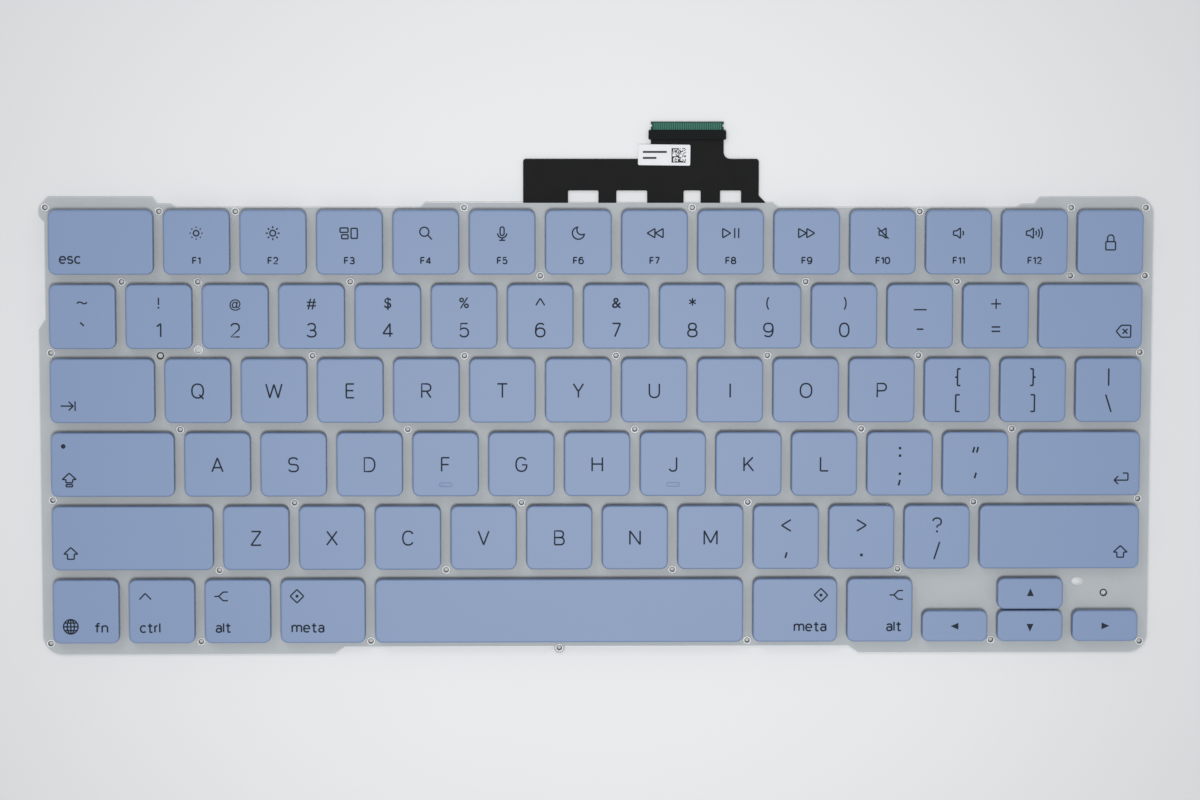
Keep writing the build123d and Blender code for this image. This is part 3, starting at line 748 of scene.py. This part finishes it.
def printed(sign, baseline, height):
    """A temporary text object for a sign that strokes would not draw well."""
    curve = bpy.data.curves.new("sign", "FONT")
    curve.body = sign
    curve.font = letter_font
    curve.align_x = "CENTER"
    curve.resolution_u = 4
    curve.offset = 0.014
    made = bpy.data.objects.new("sign", curve)
    bpy.context.scene.collection.objects.link(made)
    shrink = at_sign_scale if sign == "@" else 1
    made.scale = (height * mm / font_capital_height * shrink,) * 3
    made.location = (0, baseline * mm, 0)
    return [made]


upper_signs = dict(zip("grave 1 2 3 4 5 6 7 8 9 0 minus equals".split(), "~!@#$%^&*()_+"))
lower_signs = {"grave": "`", "minus": "-", "equals": "="}
doubles = {
    "left_bracket": "{[", "right_bracket": "}]", "backslash": "|\\", "semicolon": ":;",
    "apostrophe": "\"'", "comma": "<,", "period": ">.", "slash": "?/",
}
words = {
    "esc": "esc", "fn": "fn", "control": "ctrl", "alt_left": "alt", "meta_left": "meta",
    "meta_right": "meta", "alt_right": "alt",
}
arrow_lifts = {"arrow_up": 0.3, "arrow_down": -0.35}
arrow_turns = {"arrow_up": 0, "arrow_left": pi / 2, "arrow_down": pi, "arrow_right": -pi / 2}
corner_icons = {"tab": 4.5, "caps_lock": 4.6, "shift_left": 4.75, "fn": 4.5}
right_icons = {"delete": 4.75, "return": 4.9, "shift_right": 4.75}
text_margin = 2.75
word_baseline = 2.7
fine_baseline = 2.6
upper_baseline = 2.2
digit_baseline = -5.23
icon_height = 4.35
function_icon_height = 2.3
top_icon_margin = 4.2


def legend_parts(key):
    """The marks on one key, as temporary objects about its middle."""
    half_w = key.width / mm / 2
    half_d = key.depth / mm / 2
    name = key.name
    on_right = name in ("meta_right", "alt_right", "fn")
    parts = []
    if len(name) == 1 and name.isalpha():
        parts += written(name.upper(), 0, -letter_height / 2, letter_height, letter_stroke)
    elif name in upper_signs:
        sign = upper_signs[name]
        if sign in icons:
            parts += drawn(icons[sign], 0, 0)
        else:
            parts += printed(sign, upper_baseline, small_height)
        if name in lower_signs:
            parts += drawn(icons[lower_signs[name]], 0, 0, stroke=letter_stroke)
        else:
            parts += written(name, 0, digit_baseline, digit_height, letter_stroke)
    elif name in doubles:
        for sign in doubles[name]:
            heavy = 1.15 if sign in "\"';," else 1
            parts += drawn(icons[sign], 0, 0, stroke=heavy * letter_stroke)
    elif name in arrow_turns:
        parts += drawn(icons["arrow"], 0, arrow_lifts.get(name, 0), arrow_turns[name])
    elif name[0] == "f" and name[1:].isdigit():
        parts += written(name.upper(), 0, fine_baseline - half_d, fine_height, fine_stroke)
        parts += drawn(icons[name], 0, function_icon_height)
    elif name == "lock":
        parts += drawn(icons[name], 0, 0.05)
    elif name in right_icons:
        parts += drawn(icons[name], half_w - right_icons[name], icon_height - half_d)
    if name in corner_icons:
        icon = icons["globe" if name == "fn" else name]
        parts += drawn(icon, corner_icons[name] - half_w, icon_height - half_d)
    if name in words:
        side = half_w - text_margin if on_right else text_margin - half_w
        parts += written(words[name], side, word_baseline - half_d, word_height, word_stroke,
                         "RIGHT" if on_right else "LEFT")
    for modifier in ("control", "alt", "meta"):
        if name.startswith(modifier):
            side = half_w - top_icon_margin if on_right else top_icon_margin - half_w
            parts += drawn(icons[modifier], side, half_d - top_icon_margin)
    if name == "caps_lock":
        parts += drawn([dot(0, 0, 0.6)], 3.2 - half_w, half_d - 3.4)
    return parts


for key in keys.values():
    parts = legend_parts(key)
    if not parts:
        continue
    for part in parts:
        part.matrix_world = Matrix.Translation((key.x, key.y, legend_z)) @ part.matrix_basis
    as_mesh(parts, f"legend_{key.name}", key.body, ink)

# Finishes of the CAD pieces that stay in view
finishes = {
    "base_plate": (plate_metal, "plate"),
    "membrane_circuit": (film_print, "film"),
    "flex_tail": (tail_cover, "tail_film"),
    "contact_tongue": (board_mask, "contact_board"),
    "tail_stiffener": (stiffener_cover, "tail_film"),
    "tail_label": (paper, "label"),
}
for node, (finish, slot) in finishes.items():
    nodes[node].data.materials.clear()
    nodes[node].data.materials.append(finish)

# Collars: raised rings with a sloping inside that catches the light.
# Each profile gives radius and height in millimetres
collar_profile = ((0.7, 0.30), (0.74, 0.60), (0.84, 0.78), (0.92, 0.80), (1.0, 0.78), (1.08, 0.64))
mounts = frame["record"]["mounts"]
screw_places = []
for mount in mounts:
    if mount["kind"] != "bolt_pattern":
        continue
    dims = mount["dims"]
    x, y = mount["pos_m"][:2]
    half_x = dims.get("spacing_x_mm", 0) / 2 * mm
    half_y = dims.get("spacing_y_mm", 0) / 2 * mm
    for side_x in (-1, 1):
        for side_y in (-1, 1):
            spot = (x + side_x * half_x, y + side_y * half_y)
            if all(hypot(spot[0] - a, spot[1] - b) > 0.1 * mm for a, b in screw_places):
                screw_places.append(spot)
ear_hole_forward = 1.8 * mm
hole_row_shift = 0.75 * mm
collar_foot = (0.68, 0.30)
large_hole_wider = 0.15
tab_row_back = plain.y + row_pitch / 2
ear = (-pitch / 2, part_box("key_space")[0].y - ear_hole_forward)
large_hole = (-5.25 * pitch, tab_row_back + hole_row_shift)
screw_places.append(ear)


def collar(place, wider=0.0):
    """A ring from its outer foot over its rounded top and down inside the hole."""
    profile = (*reversed(collar_profile), collar_foot)
    rings = [circle(place, (radius + wider) * mm, z * mm) for radius, z in profile]
    return loft(rings, closed=True)


collar_shapes = [collar(place) for place in screw_places]
collar_shapes.append(collar(large_hole, large_hole_wider))
make("screw_collars", *joined(collar_shapes), "root", collar_metal, "plate")

# Dark threads inside the screw holes
thread_profile = ((0.71, 0.62), (0.68, 0.64), (0.5, 0.4), (0.48, 0.02), (0.71, 0.02))
thread_shapes = [
    loft([circle(place, radius * mm, z * mm, 20) for radius, z in thread_profile], closed=True)
    for place in screw_places
]
make("screw_threads", *joined(thread_shapes), "root", thread_metal, "plate")

# Dark rings round the two locating holes, over their edge and down inside
ring_profile = ((0.95, 0.66), (0.95, 0.69), (0.66, 0.69), (0.66, 0.4), (0.74, 0.4), (0.74, 0.66))
locating_hole_back = 3.9 * mm
locating_places = (
    (-5.75 * pitch, tab_row_back - hole_row_shift),
    (6.75 * pitch, keys["space"].y + locating_hole_back),
)
ring_shapes = [
    loft([circle(place, radius * mm, z * mm) for radius, z in ring_profile], closed=True)
    for place in locating_places
]
make("locating_rings", *joined(ring_shapes), "root", black_print, "plate")

# Oval emboss: a smooth low dome over the stamped one
emboss_x, emboss_y = 6.4 * pitch, keys["space"].y + 6.9 * mm
emboss_reach_x = 1.65 * mm
emboss_reach_y = 1.2 * mm
emboss_rise = 0.24 * mm
emboss_rings = []
for step in range(6):
    turn = step / 5 * radians(80)
    reach_x = emboss_reach_x * cos(turn)
    reach_y = emboss_reach_y * cos(turn)
    level = film_z + emboss_rise * sin(turn)
    emboss_rings.append([
        Vector((emboss_x + reach_x * cos(t), emboss_y + reach_y * sin(t), level))
        for t in (2 * pi * i / 32 for i in range(32))
    ])
make("oval_emboss", *loft(emboss_rings), "root", emboss_metal, "plate")

# Contacts on the green tongue
tongue_low, tongue_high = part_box("contact_tongue")
contact_count = 37
contact_pitch = 0.46 * mm
contact_width = 0.22 * mm
contact_corner = 0.05 * mm
contact_end_gap = 0.25 * mm
contact_levels = (tongue_high.z - 0.01 * mm, tongue_high.z + 0.02 * mm)
tongue_mid = (tongue_low.x + tongue_high.x) / 2
y_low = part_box("tail_stiffener")[1].y + contact_corner
y_high = tongue_high.y - contact_end_gap
contact_shapes = []
for i in range(contact_count):
    middle = (tongue_mid + (i - (contact_count - 1) / 2) * contact_pitch, (y_low + y_high) / 2)
    contact_shapes.append(loft([
        ring(middle, contact_width, y_high - y_low, contact_corner, z, 1) for z in contact_levels
    ]))
make("tongue_contacts", *joined(contact_shapes), "root", plated, "contact_board", smooth=False)

# Label print: a block pattern and plain bars that stand for no real code
label_low, label_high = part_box("tail_label")
label_mid = (label_low + label_high) / 2
block_size = 0.225 * mm
block_count = 16
block_share = 0.45
print_right_margin = 1.0 * mm
print_left_margin = 1.2 * mm
print_lift = 0.01 * mm
bar_depth = 0.5 * mm
bars = ((0.75 * mm, 6.0 * mm), (-0.75 * mm, 3.4 * mm))
dice = random.Random(4)
print_shapes = []


def flat_block(x, y, width, depth):
    """A printed rectangle about a point on the label."""
    z = label_high.z + print_lift
    corners = ((-1, -1), (1, -1), (1, 1), (-1, 1))
    return [Vector((x + a * width / 2, y + b * depth / 2, z)) for a, b in corners], [(0, 1, 2, 3)]


block_left = label_high.x - print_right_margin - block_count * block_size
block_front = label_mid.y - block_count * block_size / 2
for column in range(block_count):
    for row in range(block_count):
        if column == 0 or row == 0 or dice.random() < block_share:
            x = block_left + column * block_size
            y = block_front + row * block_size
            print_shapes.append(flat_block(x, y, block_size, block_size))
for height, width in bars:
    bar_middle = label_low.x + print_left_margin + width / 2
    print_shapes.append(flat_block(bar_middle, label_mid.y + height, width, bar_depth))
make("label_print", *joined(print_shapes), "root", black_print, "label", smooth=False)

# Floor, world, lamps and camera
floor_size = 4.0
floor_drop = 0.1 * mm
# Painted shade: the floor colour far from the part, standing in for light fall-off
floor_painted_shade_grey = (0.44, 0.445, 0.46, 1)
fade_from = 0.06
fade_to = 0.24
fade_most = 0.46
half = floor_size / 2
corners = [(-half, -half, 0), (half, -half, 0), (half, half, 0), (-half, half, 0)]
floor_mesh = bpy.data.meshes.new("floor")
floor_mesh.from_pydata(corners, [], [(0, 1, 2, 3)])
floor = bpy.data.objects.new("floor", floor_mesh)
floor.location.z = -floor_drop
bpy.context.scene.collection.objects.link(floor)
paper_floor = surface("floor_paper", floor_white, 0.8, mottle=0.01, mottle_size=60, specular=0.2)
floor_mesh.materials.append(paper_floor)

# Painted shade: the floor's colour darkens a little with distance from the part, standing in for
# light falling off towards the corners
tree = paper_floor.node_tree
near_colour = tree.nodes["Principled BSDF"].inputs["Base Color"].links[0].from_socket
distance = tree.nodes.new("ShaderNodeVectorMath")
distance.operation = "LENGTH"
tree.links.new(tree.nodes["Texture Coordinate"].outputs["Object"], distance.inputs[0])
fade = tree.nodes.new("ShaderNodeMapRange")
fade.inputs["From Min"].default_value = fade_from
fade.inputs["From Max"].default_value = fade_to
fade.inputs["To Max"].default_value = fade_most
fade.interpolation_type = "SMOOTHSTEP"
tree.links.new(distance.outputs["Value"], fade.inputs["Value"])
shade = tree.nodes.new("ShaderNodeMix")
shade.data_type = "RGBA"
shade.inputs["B"].default_value = floor_painted_shade_grey
tree.links.new(fade.outputs["Result"], shade.inputs["Factor"])
tree.links.new(near_colour, shade.inputs["A"])
tree.links.new(shade.outputs["Result"], tree.nodes["Principled BSDF"].inputs["Base Color"])

scene = bpy.context.scene
world = bpy.data.worlds.new("studio")
world.use_nodes = True
scene.world = world
sky = world.node_tree.nodes["Background"]
sky.inputs["Color"].default_value = (0.96, 0.98, 1.0, 1)
sky.inputs["Strength"].default_value = 0.5


def lamp(name, kind, place, aim, power, size, **settings):
    """A lamp at a place, turned to a point. Size is its disc's or its bulb's."""
    data = bpy.data.lights.new(name, kind)
    data.energy = power
    if kind == "AREA":
        data.shape = "DISK"
        data.size = size
    else:
        data.shadow_soft_size = size
    for setting, value in settings.items():
        setattr(data, setting, value)
    made = bpy.data.objects.new(name, data)
    made.location = place
    made.rotation_euler = (Vector(aim) - Vector(place)).to_track_quat("-Z", "Y").to_euler()
    scene.collection.objects.link(made)


lamp("overhead", "SPOT", (0.03, -0.17, 1.5), (0.0, -0.01, 0), 35, 0.16,
     spot_size=radians(60), spot_blend=1.0)
lamp("back_fill", "AREA", (-0.6, 0.9, 1.2), (0, 0, 0), 3, 0.6)

# The camera's lens and place, fitted to the spacing of the keys
camera_data = bpy.data.cameras.new("camera")
camera_data.sensor_width = 36
camera_data.lens = 107.70
camera_data.clip_start = 0.01
camera_data.clip_end = 20
camera = bpy.data.objects.new("camera", camera_data)
camera.location = (-0.018551, 0.094083, 0.9)
camera.rotation_euler = Euler((-0.09694968, -0.02135069, 0.00102088), "XYZ")
scene.collection.objects.link(camera)
scene.camera = camera
scene.view_settings.view_transform = "Standard"
